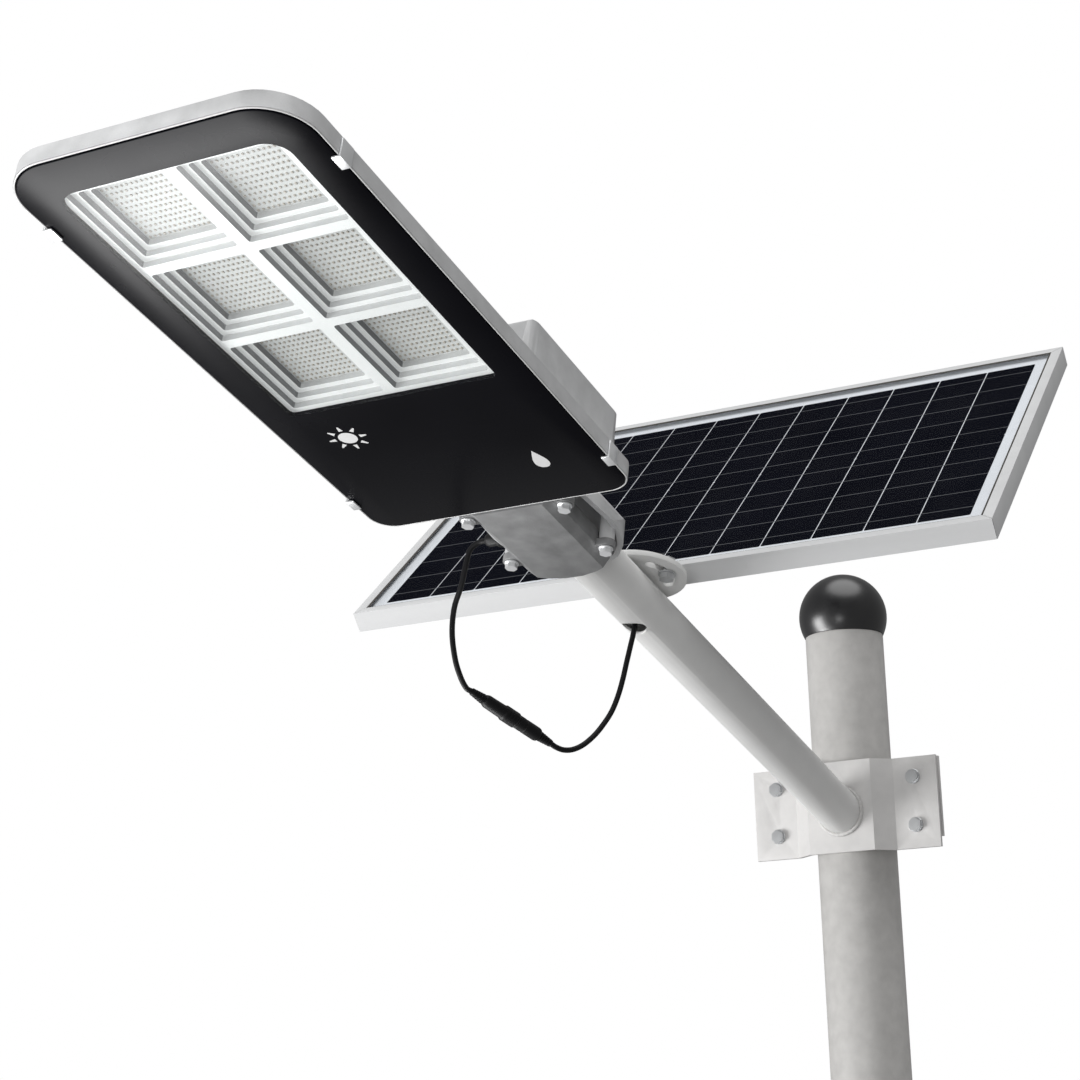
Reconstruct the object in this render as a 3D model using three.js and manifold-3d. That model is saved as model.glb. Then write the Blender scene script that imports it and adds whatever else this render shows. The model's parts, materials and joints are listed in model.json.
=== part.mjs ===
// Solar street lamp: a pole with a clamped outreach arm, a flat LED head on the arm's spigot,
// and a tilting, swivelling solar panel on a turntable above the arm.
// Millimetres, +Z up, +X from the pole towards the head, origin under the centre of the base flange.
import * as THREE from "three";
import { mergeVertices } from "three/addons/utils/BufferGeometryUtils.js";
import Module from "manifold-3d";

const wasm = await Module();
wasm.setup();

// ---------------------------------------------------------------- driving dimensions
const GAP = 0.3; // between touching pieces

const POLE_R = 44.45;
const POLE_WALL = 3.2;
const POLE_TOP = 3000;
const CAP_BALL_R = 50.4;
const CAP_BALL_RISE = 23;
const CAP_PLUG_DEPTH = 30;
const FLANGE_SIDE = 260;
const FLANGE_T = 12;
const ANCHOR_SPACING = 200;
const ANCHOR_R = 9;
const GUSSET = { reach: 62, height: 120, thickness: 8 };

const ARM_CROSSING_Z = 2779; // where the arm's axis meets the pole's axis
const ARM_RISE = THREE.MathUtils.degToRad(14.26);
const ARM_R = 24.15;
const ARM_WALL = 2.5;
const ARM_END = 838;
const CABLE_HOLE = { u: 587, v: -3, r: 11.5 };

const CLAMP = {
  thickness: 5,
  webX: 50,
  flangeX: 32,
  rearFlangeX: 17,
  webHalf: 38,
  flangeStart: 58,
  halfWidth: 108,
  bottom: -32.5,
  rearBottom: -20,
  top: 69,
};
const CLAMP_BOLT = { y: 81, z: 20, dz: 26.8, r: 4, holeR: 4.6, acrossCorners: 15, headH: 4, washerR: 8.3 };

// The head: u along the arm, v across it, w square to both, measured from the arm's axis.
const GLASS = { u0: 851, u1: 1375, half: 119, low: -36.3, thickness: 4 };
const FRONT_CORNER_R = 40;
const REAR_CORNER_R = 20;
const RIM = 2.3;
const HOUSING = { low: -34.8, shoulder: -21, roof: -12, roofInset: 18, roofT: 3.2 };
const LEDGE_INSET = 8;
const HUMP = { u0: 853, u1: 1016, toe: 1019, half: 106, top: 28, wall: 4 };
const WINDOW = { u0: 1036.5, u1: 1341.5, half: 92.7, columns: 3, rows: 2 };
const WELL = { inset: 5, tread: 5.5, steps: 3 };
const LED_FACE = -17.2;
const CLIP = { us: [897, 1307], width: 14, thickness: 1.4, foot: 6, leg: 14 };
const NECK = { end: 688, half: 58, waist: 6, straightTo: 765, low: -12, top: 30, wall: 5 };
const SADDLE = { u0: 716, u1: 844, half: 40, flatHalf: 32, low: -34.5, shoulder: -28.5 };
const SADDLE_BOLT = { us: [750, 830], v: 46, earR: 8, earLow: -29.5, earTop: -23.2, postR: 7 };
const SADDLE_SCREW = { r: 3, length: 32, headR: 5.7, headH: 4.2, washerR: 6.4 };

// The solar panel: its lower front edge, its tilt from level, its outside size.
const PANEL = { x: 538.5, z: 185.9, width: 663.6, height: 418.8, thickness: 20.9 };
const PANEL_TILT = THREE.MathUtils.degToRad(38.84);
const FRAME_LIP = 10.5;
const FRAME_WALL = 2;
const FRAME_FOOT = 22;
const SOLAR_GLASS_T = 3.2;
const RAIL_END = 14; // from the frame's outer faces
const TURNTABLE = { u: 596, r: 46.8, low: 24.5, thickness: 5, slotR: 31, slotHalf: 4.6 };
const FOOT_T = 3;
const SLOT_SWEEP = THREE.MathUtils.degToRad(84);
const PIVOT = { x: 459.3, z: 198.3, r: 4 };
const KNUCKLE = { half: 12, r: 9 };
const EAR = { thickness: 4, r: 10 };

const LAMP_GLAND = { u: 750, w: -3, tip: -74.5 };
const LEAD_R = 2.5;
const CONNECTOR_R = 7.3;

// ---------------------------------------------------------------- materials
function paint(color, roughness, metalness = 0) {
  return new THREE.MeshStandardMaterial({ color, roughness, metalness });
}
const MATERIAL = {
  pole: paint(0xc9c7c3, 0.45, 0.1),
  armWhite: paint(0xe9e8e6, 0.4),
  bracket: paint(0xd6d4d1, 0.5, 0.2),
  castGrey: paint(0xa3a5a8, 0.5, 0.3),
  steel: paint(0xc8cacc, 0.3, 0.9),
  rubber: paint(0x18181a, 0.8),
  blackPlastic: paint(0x101013, 0.25),
  blackGlass: paint(0x16171b, 0.1),
  reflector: paint(0xf0f0ee, 0.35),
  ledBoard: paint(0xd9d6c8, 0.6),
  cell: paint(0x0d0f16, 0.2),
  solarGlass: paint(0x9fb0bd, 0.05),
  aluminium: paint(0xd4d6d8, 0.35, 0.8),
  battery: paint(0x2f66a8, 0.5),
  circuit: paint(0x1e6b3a, 0.6),
};

// ---------------------------------------------------------------- solid helpers
function solid(geometry) {
  const bare = geometry.clone();
  bare.deleteAttribute("normal");
  bare.deleteAttribute("uv");
  const merged = mergeVertices(bare, 1e-4);
  const triVerts = new Uint32Array(merged.index.array);
  const vertProperties = new Float32Array(merged.attributes.position.array);
  return new wasm.Manifold(new wasm.Mesh({ numProp: 3, vertProperties, triVerts }));
}

function geometryOf(body) {
  const mesh = body.getMesh();
  const geometry = new THREE.BufferGeometry();
  geometry.setAttribute("position", new THREE.BufferAttribute(mesh.vertProperties, 3));
  geometry.setIndex(new THREE.BufferAttribute(mesh.triVerts, 1));
  const flat = geometry.toNonIndexed();
  flat.computeVertexNormals();
  return flat;
}

function join(...geometries) {
  return geometryOf(geometries.map(solid).reduce((all, next) => all.add(next)));
}

function cut(geometry, ...tools) {
  return geometryOf(tools.map(solid).reduce((left, tool) => left.subtract(tool), solid(geometry)));
}

function common(geometry, other) {
  return geometryOf(solid(geometry).intersect(solid(other)));
}

function block(x0, x1, y0, y1, z0, z1) {
  const geometry = new THREE.BoxGeometry(x1 - x0, y1 - y0, z1 - z0);
  return geometry.translate((x0 + x1) / 2, (y0 + y1) / 2, (z0 + z1) / 2);
}

// A cylinder on a line parallel to Z through (x, y), from z0 to z1.
function post(x, y, z0, z1, radius, sides = 24) {
  const geometry = new THREE.CylinderGeometry(radius, radius, z1 - z0, sides);
  return geometry.rotateX(Math.PI / 2).translate(x, y, (z0 + z1) / 2);
}

function postAlongX(y, z, x0, x1, radius, sides = 24) {
  return post(0, 0, x0, x1, radius, sides).rotateY(Math.PI / 2).translate(0, y, z);
}

function postAlongY(x, z, y0, y1, radius, sides = 24) {
  return post(0, 0, -y1, -y0, radius, sides).rotateX(Math.PI / 2).translate(x, 0, z);
}

function raise(shape, z0, z1, curveSegments = 4) {
  const options = { depth: z1 - z0, bevelEnabled: false, curveSegments };
  return new THREE.ExtrudeGeometry(shape, options).translate(0, 0, z0);
}

function polygon(points) {
  return new THREE.Shape(points.map(([x, y]) => new THREE.Vector2(x, y)));
}

// A shape drawn as (x, z) and extruded along Y from y0 to y1.
function raiseAlongY(points, y0, y1) {
  return raise(polygon(points), -y1, -y0).rotateX(Math.PI / 2);
}

// A shape drawn as (y, z) and extruded along X from x0 to x1.
function raiseAlongX(points, x0, x1) {
  return raise(polygon(points), x0, x1).rotateY(Math.PI / 2).rotateX(Math.PI / 2);
}

function ring(outer, inner, z0, z1, sides = 32) {
  return cut(post(0, 0, z0, z1, outer, sides), post(0, 0, z0 - 1, z1 + 1, inner, sides));
}

// A band of constant thickness to the left of a polyline, as a closed outline.
function bandOutline(points, thickness) {
  const offset = points.map((point, i) => {
    const here = new THREE.Vector2(...point);
    const before = new THREE.Vector2(...points[Math.max(i - 1, 0)]);
    const after = new THREE.Vector2(...points[Math.min(i + 1, points.length - 1)]);
    const inward = (i === 0 ? after.clone().sub(here) : here.clone().sub(before)).normalize();
    const outward = (i === points.length - 1 ? inward : after.clone().sub(here)).clone().normalize();
    const normalIn = new THREE.Vector2(-inward.y, inward.x);
    const normalOut = new THREE.Vector2(-outward.y, outward.x);
    const mitre = normalIn.add(normalOut).normalize();
    const stretch = thickness / mitre.dot(normalOut);
    return [here.x + mitre.x * stretch, here.y + mitre.y * stretch];
  });
  return [...points, ...offset.reverse()];
}

// An arc slot: a band of half-width `half` along a circle of radius r, from angle a0 to a1.
function arcSlot(r, half, a0, a1) {
  const shape = new THREE.Shape();
  shape.absarc(0, 0, r + half, a0, a1, false);
  shape.absarc(r * Math.cos(a1), r * Math.sin(a1), half, a1, a1 + Math.PI, false);
  shape.absarc(0, 0, r - half, a1, a0, true);
  shape.absarc(r * Math.cos(a0), r * Math.sin(a0), half, a0 + Math.PI, a0 + 2 * Math.PI, false);
  return shape;
}

// A hexagon-headed bolt along Z: washer and head below z = 0, shank above it.
function hexBolt(shankR, length, headR, headH, washerR) {
  const washer = post(0, 0, -1.5, 0, washerR, 16);
  const head = post(0, 0, -1.5 - headH, -1, headR, 6);
  return join(washer, head, post(0, 0, -1, length, shankR, 12));
}

// ---------------------------------------------------------------- scene graph
const lamp = new THREE.Group();

const armFrame = new THREE.Group();
armFrame.position.set(0, 0, ARM_CROSSING_Z);
armFrame.rotation.y = -ARM_RISE;
lamp.add(armFrame);

const panelFrame = new THREE.Group();
panelFrame.position.set(PANEL.x, 0, ARM_CROSSING_Z + PANEL.z);
panelFrame.rotation.y = PANEL_TILT;
lamp.add(panelFrame);

function add(group, name, geometry, material) {
  const mesh = new THREE.Mesh(geometry, material.clone());
  mesh.name = name;
  group.add(mesh);
  return mesh;
}

// ---------------------------------------------------------------- pole
function buildPole() {
  const half = FLANGE_SIDE / 2;
  const anchor = ANCHOR_SPACING / 2;
  const corners = [[1, 1], [1, -1], [-1, 1], [-1, -1]];
  const holes = corners.map(([sx, sy]) => post(sx * anchor, sy * anchor, -1, FLANGE_T + 1, ANCHOR_R, 20));
  const plate = cut(raise(roundedBox(half, half, 12), 0, FLANGE_T, 2), ...holes);
  add(lamp, "base_flange", plate, MATERIAL.pole);

  const foot = FLANGE_T + GAP;
  for (let i = 0; i < 4; i++) {
    const { reach, height, thickness } = GUSSET;
    const near = POLE_R + GAP;
    const outline = [[near, foot], [near + reach, foot], [near + reach, foot + 14]];
    outline.push([near + 14, foot + height], [near, foot + height]);
    const gusset = raiseAlongY(outline, -thickness / 2, thickness / 2).rotateZ((i * Math.PI) / 2);
    add(lamp, `base_gusset_${i + 1}`, gusset, MATERIAL.pole);
  }

  const tube = ring(POLE_R, POLE_R - POLE_WALL, foot, POLE_TOP, 40);
  add(lamp, "pole_tube", tube, MATERIAL.pole);

  const start = Math.asin(-(CAP_BALL_RISE - GAP) / CAP_BALL_R);
  const plugR = POLE_R - POLE_WALL - GAP;
  const profile = [[0, -CAP_PLUG_DEPTH], [plugR - 3, -CAP_PLUG_DEPTH], [plugR, -CAP_PLUG_DEPTH + 3]];
  profile.push([plugR, GAP]);
  const steps = 14;
  for (let i = 0; i < steps; i++) {
    const angle = start + ((Math.PI / 2 - start) * i) / steps;
    profile.push([CAP_BALL_R * Math.cos(angle), CAP_BALL_RISE + CAP_BALL_R * Math.sin(angle)]);
  }
  profile.push([0, CAP_BALL_RISE + CAP_BALL_R]);
  const points = profile.map(([r, z]) => new THREE.Vector2(r, z));
  const cap = new THREE.LatheGeometry(points, 32).rotateX(Math.PI / 2).translate(0, 0, POLE_TOP);
  add(lamp, "pole_cap", cap, MATERIAL.blackPlastic);
}

// A rounded rectangle about the origin, with half sides a and b and corner radius r.
function roundedBox(a, b, r) {
  return cornered([[a, b, r], [-a, b, r], [-a, -b, r], [a, -b, r]]);
}

// An outline of right-angled corners, each [x, y, radius], listed anticlockwise.
function cornered(corners) {
  const shape = new THREE.Shape();
  const count = corners.length;
  corners.forEach(([x, y, r], i) => {
    const [px, py] = corners[(i + count - 1) % count];
    const [nx, ny] = corners[(i + 1) % count];
    const into = new THREE.Vector2(x - px, y - py).normalize();
    const out = new THREE.Vector2(nx - x, ny - y).normalize();
    const turn = Math.atan2(into.y, into.x) - Math.PI / 2;
    const cx = x - into.x * r + out.x * r;
    const cy = y - into.y * r + out.y * r;
    shape.absarc(cx, cy, r, turn, turn + Math.PI / 2, false);
  });
  return shape;
}

// ---------------------------------------------------------------- pole clamp and arm
function buildClampAndArm() {
  const { thickness, webX, flangeX, rearFlangeX, webHalf, flangeStart, halfWidth } = CLAMP;
  const plateTop = ARM_CROSSING_Z + CLAMP.top;
  const front = [[flangeX, -halfWidth], [flangeX, -flangeStart], [webX, -webHalf]];
  front.push([webX, webHalf], [flangeX, flangeStart], [flangeX, halfWidth]);
  const middle = ARM_CROSSING_Z + CLAMP_BOLT.z;
  const heights = [middle - CLAMP_BOLT.dz, middle + CLAMP_BOLT.dz];
  const boltPlaces = [-CLAMP_BOLT.y, CLAMP_BOLT.y].flatMap((y) => heights.map((z) => [y, z]));
  const holes = boltPlaces.map(([y, z]) => postAlongX(y, z, -60, 60, CLAMP_BOLT.holeR, 16));
  const hat = raise(polygon(bandOutline(front, thickness)), ARM_CROSSING_Z + CLAMP.bottom, plateTop);
  add(lamp, "pole_clamp_front", cut(hat, ...holes), MATERIAL.bracket);

  // The rear plate is deeper: its flanges come forward to just behind the front plate's.
  const rear = [[rearFlangeX, halfWidth], [rearFlangeX, flangeStart], [-webX, webHalf]];
  rear.push([-webX, -webHalf], [rearFlangeX, -flangeStart], [rearFlangeX, -halfWidth]);
  const rearLow = ARM_CROSSING_Z + CLAMP.rearBottom;
  const deepHat = raise(polygon(bandOutline(rear, thickness)), rearLow, plateTop);
  add(lamp, "pole_clamp_rear", cut(deepHat, ...holes), MATERIAL.bracket);

  const seat = flangeX + GAP;
  const nutSeat = rearFlangeX - GAP;
  boltPlaces.forEach(([y, z], i) => {
    const { r, acrossCorners, headH, washerR } = CLAMP_BOLT;
    const bolt = hexBolt(r, seat - nutSeat + 14, acrossCorners / 2, headH, washerR);
    bolt.rotateY(-Math.PI / 2).translate(seat, y, z);
    add(lamp, `clamp_bolt_${i + 1}`, bolt, MATERIAL.steel);
    const nutR = acrossCorners / 2;
    const nut = join(postAlongX(0, 0, -1.5, 0, washerR, 16), postAlongX(0, 0, -9.5, -1, nutR, 6));
    const drilled = cut(nut, postAlongX(0, 0, -20, 20, r + GAP, 12)).translate(nutSeat, y, z);
    add(lamp, `clamp_nut_${i + 1}`, drilled, MATERIAL.steel);
  });

  const tube = cut(
    postAlongX(0, 0, 20, ARM_END, ARM_R, 32),
    postAlongX(0, 0, 19, ARM_END + 1, ARM_R - ARM_WALL, 32),
    post(CABLE_HOLE.u, CABLE_HOLE.v, -ARM_R - 5, -8, CABLE_HOLE.r, 20),
  );
  const weldPlane = block(-60, webX + GAP, -60, 60, -80, 80).rotateY(ARM_RISE);
  add(armFrame, "arm_tube", cut(tube, weldPlane), MATERIAL.armWhite);
}

// ---------------------------------------------------------------- lamp head
function headOutline(grow) {
  const { u0, u1, half } = GLASS;
  const front = Math.max(FRONT_CORNER_R + grow, 3);
  const rear = Math.max(REAR_CORNER_R + grow, 3);
  const h = half + grow;
  return cornered([
    [u1 + grow, h, front],
    [u0 - grow, h, rear],
    [u0 - grow, -h, rear],
    [u1 + grow, -h, front],
  ]);
}

function neckOutline(inset) {
  const half = NECK.half - inset;
  const shape = new THREE.Shape();
  const reach = NECK.straightTo - NECK.end - inset;
  shape.moveTo(GLASS.u0 + 4, NECK.waist - half);
  shape.lineTo(GLASS.u0 + 4, half - NECK.waist);
  shape.lineTo(NECK.straightTo, half);
  shape.absellipse(NECK.straightTo, 0, reach, half, Math.PI / 2, (3 * Math.PI) / 2, false, 0);
  shape.closePath();
  return shape;
}

// The neck's rounded top, a half-ellipse across the arm drawn in by `inset`. Its sides run down to `low`.
function neckDome(inset, low) {
  const half = NECK.half - inset;
  const rise = NECK.top - NECK.low - inset;
  const section = [[half, low]];
  const steps = 20;
  for (let i = 0; i <= steps; i++) {
    const angle = (Math.PI * i) / steps;
    section.push([half * Math.cos(angle), NECK.low + 0.5 + rise * Math.sin(angle)]);
  }
  section.push([-half, low]);
  return raiseAlongX(section, NECK.end - 10, GLASS.u0 + 10);
}

function buildHousing() {
  const { low, shoulder, roof, roofInset, roofT } = HOUSING;
  const blank = new THREE.ExtrudeGeometry(headOutline(RIM - roofInset), {
    depth: shoulder - low,
    bevelThickness: roof - shoulder,
    bevelSize: roofInset,
    bevelSegments: 1,
    curveSegments: 5,
  });
  const walls = common(blank.translate(0, 0, low), block(0, 2000, -500, 500, low, 50));
  const { u0, u1, toe, half, top, wall } = HUMP;
  const side = [[u0, shoulder - 2], [toe, shoulder - 2], [u1, top - 3], [u1 - 3, top]];
  side.push([u0 + 3, top], [u0, top - 3]);
  const plan = cornered([[toe, half, 14], [u0, half, 16], [u0, -half, 16], [toe, -half, 14]]);
  const hump = common(raiseAlongY(side, -half, half), raise(plan, shoulder - 3, top + 1, 4));

  const neck = common(raise(neckOutline(0), NECK.low, NECK.top + 1, 5), neckDome(0, NECK.low - 1));
  const outside = join(walls, hump, neck);

  const rim = raise(headOutline(GAP), low - 1, low + 5.1, 5);
  const lowHollow = raise(headOutline(-LEDGE_INSET), low, shoulder + 2, 5);
  const highHollow = raise(headOutline(-roofInset - 2), low, roof - roofT, 5);
  const innerHalf = half - wall;
  const innerPlan = cornered([
    [u1 - wall, innerHalf, 10],
    [u0 + wall, innerHalf, 12],
    [u0 + wall, -innerHalf, 12],
    [u1 - wall, -innerHalf, 10],
  ]);
  const humpHollow = raise(innerPlan, shoulder + 1, top - wall, 4);

  // Under the neck: two pockets beside the arm, with a post for each saddle bolt.
  const pocketFront = GLASS.u0 - RIM - 3;
  const pocketBlock = block(NECK.end, pocketFront, -80, 80, NECK.low - 1, NECK.top - 14);
  const cheek = ARM_R + 6;
  const inside = common(raise(neckOutline(NECK.wall), NECK.low - 1, NECK.top, 5), pocketBlock);
  const armBlock = block(NECK.end - 10, GLASS.u0, -cheek, cheek, NECK.low - 2, NECK.top);
  const pockets = cut(common(inside, neckDome(NECK.wall, NECK.low - 2)), armBlock);
  const armBore = postAlongX(0, 0, NECK.end - 20, ARM_END + 2, ARM_R + GAP, 32);
  const armSlot = block(NECK.end - 20, ARM_END + 2, -ARM_R - GAP, ARM_R + GAP, NECK.low - 5, 0);
  const shell = cut(outside, rim, lowHollow, highHollow, humpHollow, pockets, armBore, armSlot);

  const postLow = SADDLE_BOLT.earTop + GAP;
  const underDome = neckDome(0, postLow - 1);
  const posts = saddleBoltPlaces().map(([u, v]) => {
    return common(post(u, v, postLow, NECK.top, SADDLE_BOLT.postR, 16), underDome);
  });
  const boltHoles = saddleBoltPlaces().map(([u, v]) => post(u, v, -40, 3, SADDLE_SCREW.r + 0.4, 16));
  const glandHole = postAlongY(LAMP_GLAND.u, LAMP_GLAND.w, -NECK.half - 20, -cheek, 5.5, 16);
  add(armFrame, "lamp_housing", cut(join(shell, ...posts), ...boltHoles, glandHole), MATERIAL.castGrey);
}

function saddleBoltPlaces() {
  return SADDLE_BOLT.us.flatMap((u) => [-SADDLE_BOLT.v, SADDLE_BOLT.v].map((v) => [u, v]));
}

function buildGlassAndSeal() {
  const { low, thickness } = GLASS;
  add(armFrame, "front_glass", raise(headOutline(0), low, low + thickness, 5), MATERIAL.blackGlass);
  const sealLow = low + thickness + GAP;
  const sealTop = HOUSING.low + 5.1 - GAP;
  const seal = cut(raise(headOutline(-1), sealLow, sealTop, 5), raise(headOutline(-7), -60, 0, 5));
  add(armFrame, "glass_gasket", seal, MATERIAL.rubber);

  CLIP.us.forEach((u, i) => {
    [-1, 1].forEach((side) => {
      const { width, thickness: t, foot, leg } = CLIP;
      const near = GLASS.half + RIM + GAP;
      const under = low - GAP;
      const outline = [[near - foot, under - t], [near + t, under - t], [near + t, under + leg]];
      outline.push([near, under + leg], [near, under], [near - foot, under]);
      const clip = raiseAlongX(outline, u - width / 2, u + width / 2);
      if (side < 0) clip.rotateZ(Math.PI).translate(2 * u, 0, 0);
      const end = i === 0 ? "rear" : "front";
      add(armFrame, `glass_clip_${end}_${side > 0 ? "left" : "right"}`, clip, MATERIAL.steel);
    });
  });
}

// The window's outline grown by a margin, with its front corners rounded to follow the head's.
function opticsOutline(margin) {
  const { u0, u1, half } = WINDOW;
  const side = half + margin;
  const front = 18 + margin;
  return cornered([
    [u1 + margin, side, front],
    [u0 - margin, side, 5],
    [u0 - margin, -side, 5],
    [u1 + margin, -side, front],
  ]);
}

function buildOptics() {
  const { u0, u1, half, columns, rows } = WINDOW;
  const low = GLASS.low + GLASS.thickness + GAP;
  const pitchU = (u1 - u0) / columns;
  const pitchV = (2 * half) / rows;
  const plate = raise(opticsOutline(5), low, LED_FACE - GAP, 3);
  const pockets = [];
  for (let column = 0; column < columns; column++) {
    for (let row = 0; row < rows; row++) {
      const u = u0 + pitchU * (column + 0.5);
      const v = -half + pitchV * (row + 0.5);
      for (let step = 0; step < WELL.steps; step++) {
        const inset = WELL.inset + WELL.tread * step;
        const a = pitchU / 2 - inset;
        const b = pitchV / 2 - inset;
        const floor = low + ((LED_FACE - low) * (step + 1)) / WELL.steps;
        pockets.push(block(u - a, u + a, v - b, v + b, low - 1, floor));
      }
    }
  }
  add(armFrame, "reflector_tray", cut(plate, ...pockets), MATERIAL.reflector);
  const board = raise(opticsOutline(4), LED_FACE, LED_FACE + 1.6, 3);
  add(armFrame, "led_board", board, MATERIAL.ledBoard);
}

function buildElectronics() {
  const cells = [];
  const cellR = 16;
  const lowest = HUMP.top - HUMP.wall - GAP - cellR;
  const pitch = 2 * (cellR - 0.4);
  for (let i = 0; i < 4; i++) {
    cells.push(postAlongY(876 + i * pitch, lowest, -88, 88, cellR, 16));
  }
  add(armFrame, "battery_pack", join(...cells), MATERIAL.battery);
  const board = block(862, 1000, -70, 70, -24, -22.4);
  const choke = post(900, 20, -23, -14, 11, 16);
  const capacitor = post(960, -35, -23, -12.5, 8, 16);
  const heatsink = block(920, 950, 25, 60, -23, -14);
  add(armFrame, "charge_controller", join(board, choke, capacitor, heatsink), MATERIAL.circuit);
}

function buildSaddle() {
  const { u0, u1, half, flatHalf, low, shoulder } = SADDLE;
  const top = NECK.low - GAP;
  const section = [[-half, top], [-half, shoulder], [-flatHalf, low], [flatHalf, low]];
  section.push([half, shoulder], [half, top]);
  const beam = raiseAlongX(section, u0, u1);
  const plan = new THREE.Shape();
  plan.moveTo(u1, -80);
  plan.lineTo(u1, 80);
  plan.lineTo(u0 + 14, 80);
  plan.lineTo(u0 + 14, half);
  plan.quadraticCurveTo(u0 - 13, 0, u0 + 14, -half);
  plan.lineTo(u0 + 14, -80);
  const body = common(beam, raise(plan, -60, 0, 5));
  const { earR, earLow, earTop, postR } = SADDLE_BOLT;
  const ears = saddleBoltPlaces().flatMap(([u, v]) => {
    const web = block(u - earR, u + earR, Math.min(v, 0), Math.max(v, 0), earLow, earTop);
    return [post(u, v, earLow, earTop, earR, 24), web];
  });
  const armGroove = postAlongX(0, 0, 600, 900, ARM_R + GAP, 32);
  const postRelief = saddleBoltPlaces().map(([u, v]) => post(u, v, earTop, 0, postR + 0.7, 16));
  const spotFaces = saddleBoltPlaces().map(([u, v]) => post(u, v, -60, earLow, 7.4, 16));
  const holes = saddleBoltPlaces().map(([u, v]) => post(u, v, -60, 0, SADDLE_SCREW.r + 0.4, 16));
  const saddle = cut(join(body, ...ears), armGroove, ...postRelief, ...spotFaces, ...holes);
  add(armFrame, "spigot_saddle", saddle, MATERIAL.castGrey);

  saddleBoltPlaces().forEach(([u, v], i) => {
    const { r, length, headR, headH, washerR } = SADDLE_SCREW;
    const bolt = hexBolt(r, length, headR, headH, washerR).translate(u, v, earLow - GAP);
    add(armFrame, `saddle_bolt_${i + 1}`, bolt, MATERIAL.steel);
  });
}

// ---------------------------------------------------------------- leads between head and arm
// Points of the two leads' centre lines, measured from the arm's crossing with the pole.
const LAMP_LEAD_ROUTE = [
  [727.6, -74.8, 181.9], [727.8, -83.0, 181.0], [728.4, -90.5, 175.5], [729.6, -94.0, 164.0],
  [735.5, -96.5, 141.4], [745.3, -98.3, 120.0], [751.0, -97.7, 96.0], [751.8, -94.6, 72.0],
  [749.4, -90.8, 56.0], [745.9, -87.4, 46.8], [741.0, -85.0, 44.3],
];
const ARM_LEAD_ROUTE = [
  [664.4, -47.2, 5.0], [659.5, -44.8, 2.5], [652.0, -41.2, 0.8], [643.0, -36.6, 2.0], [632.1, -31.3, 7.3],
  [620.5, -25.5, 17.0], [610.0, -20.4, 29.0], [601.6, -16.2, 41.2], [594.5, -12.8, 56.0],
  [589.0, -10.0, 72.0], [584.5, -7.7, 88.0], [580.5, -5.6, 102.0],
];
const LEAD_STEPS = 18;

function leadCurve(route, ...ends) {
  const points = [...route, ...ends].map(([x, y, z]) => new THREE.Vector3(x, y, z + ARM_CROSSING_Z));
  return new THREE.CatmullRomCurve3(points, false, "centripetal");
}

function lead(curve) {
  const section = new THREE.Shape();
  section.absarc(0, 0, LEAD_R, 0, 2 * Math.PI, false);
  const options = { steps: LEAD_STEPS, extrudePath: curve, curveSegments: 5, bevelEnabled: false };
  return new THREE.ExtrudeGeometry(section, options);
}

// The arm-frame point (u, v, w), measured from the arm's crossing with the pole in the lamp's own axes.
function fromArm(u, v, w) {
  return new THREE.Vector3(u, v, w).applyAxisAngle(new THREE.Vector3(0, 1, 0), -ARM_RISE);
}

function buildLeads() {
  const { u, w, tip } = LAMP_GLAND;
  const seat = -NECK.half - GAP;
  const body = postAlongY(0, 0, tip, seat - 3, 6.2, 16);
  const flats = postAlongY(0, 0, seat - 6, seat, 8, 6);
  const gland = cut(join(body, flats), postAlongY(0, 0, tip - 1, tip + 8, LEAD_R + 0.6, 12));
  add(armFrame, "lamp_gland", gland.translate(u, 0, w), MATERIAL.blackPlastic);

  const lampCurve = leadCurve(LAMP_LEAD_ROUTE);
  const inHole = [-ARM_R, -12].map((w) => fromArm(CABLE_HOLE.u, CABLE_HOLE.v, w).toArray());
  const armCurve = leadCurve(ARM_LEAD_ROUTE, ...inHole);
  add(lamp, "lamp_lead", lead(lampCurve), MATERIAL.rubber);
  add(lamp, "arm_lead", lead(armCurve), MATERIAL.rubber);

  // The mated connector on the straight line between the two leads' ends.
  const from = lampCurve.getPoint(1);
  const to = armCurve.getPoint(0);
  const axis = to.clone().sub(from).normalize();
  const length = to.distanceTo(from) - 2 * GAP;
  const turn = new THREE.Quaternion().setFromUnitVectors(new THREE.Vector3(0, 0, 1), axis);
  const origin = from.clone().addScaledVector(axis, GAP);
  const place = (geometry) => geometry.applyQuaternion(turn).translate(...origin);
  const turned = (profile) => new THREE.LatheGeometry(profile.map(([r, z]) => new THREE.Vector2(r, z)), 20)
    .rotateX(Math.PI / 2);
  const boot = 14;
  const middle = length * 0.56;
  const plug = [[0, 0], [LEAD_R + 0.8, 0], [4.6, boot], [CONNECTOR_R - 0.9, boot + 2]];
  plug.push([CONNECTOR_R - 0.9, middle - 16]);
  plug.push([CONNECTOR_R, middle - 15], [CONNECTOR_R, middle - 1], [CONNECTOR_R - 1, middle], [0, middle]);
  const socket = [[0, middle + GAP], [CONNECTOR_R - 1, middle + GAP], [CONNECTOR_R - 1, length - boot - 2]];
  socket.push([4.6, length - boot], [LEAD_R + 0.8, length], [0, length]);
  add(lamp, "lamp_connector", place(turned(plug)), MATERIAL.rubber);
  add(lamp, "arm_connector", place(turned(socket)), MATERIAL.rubber);
}

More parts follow.
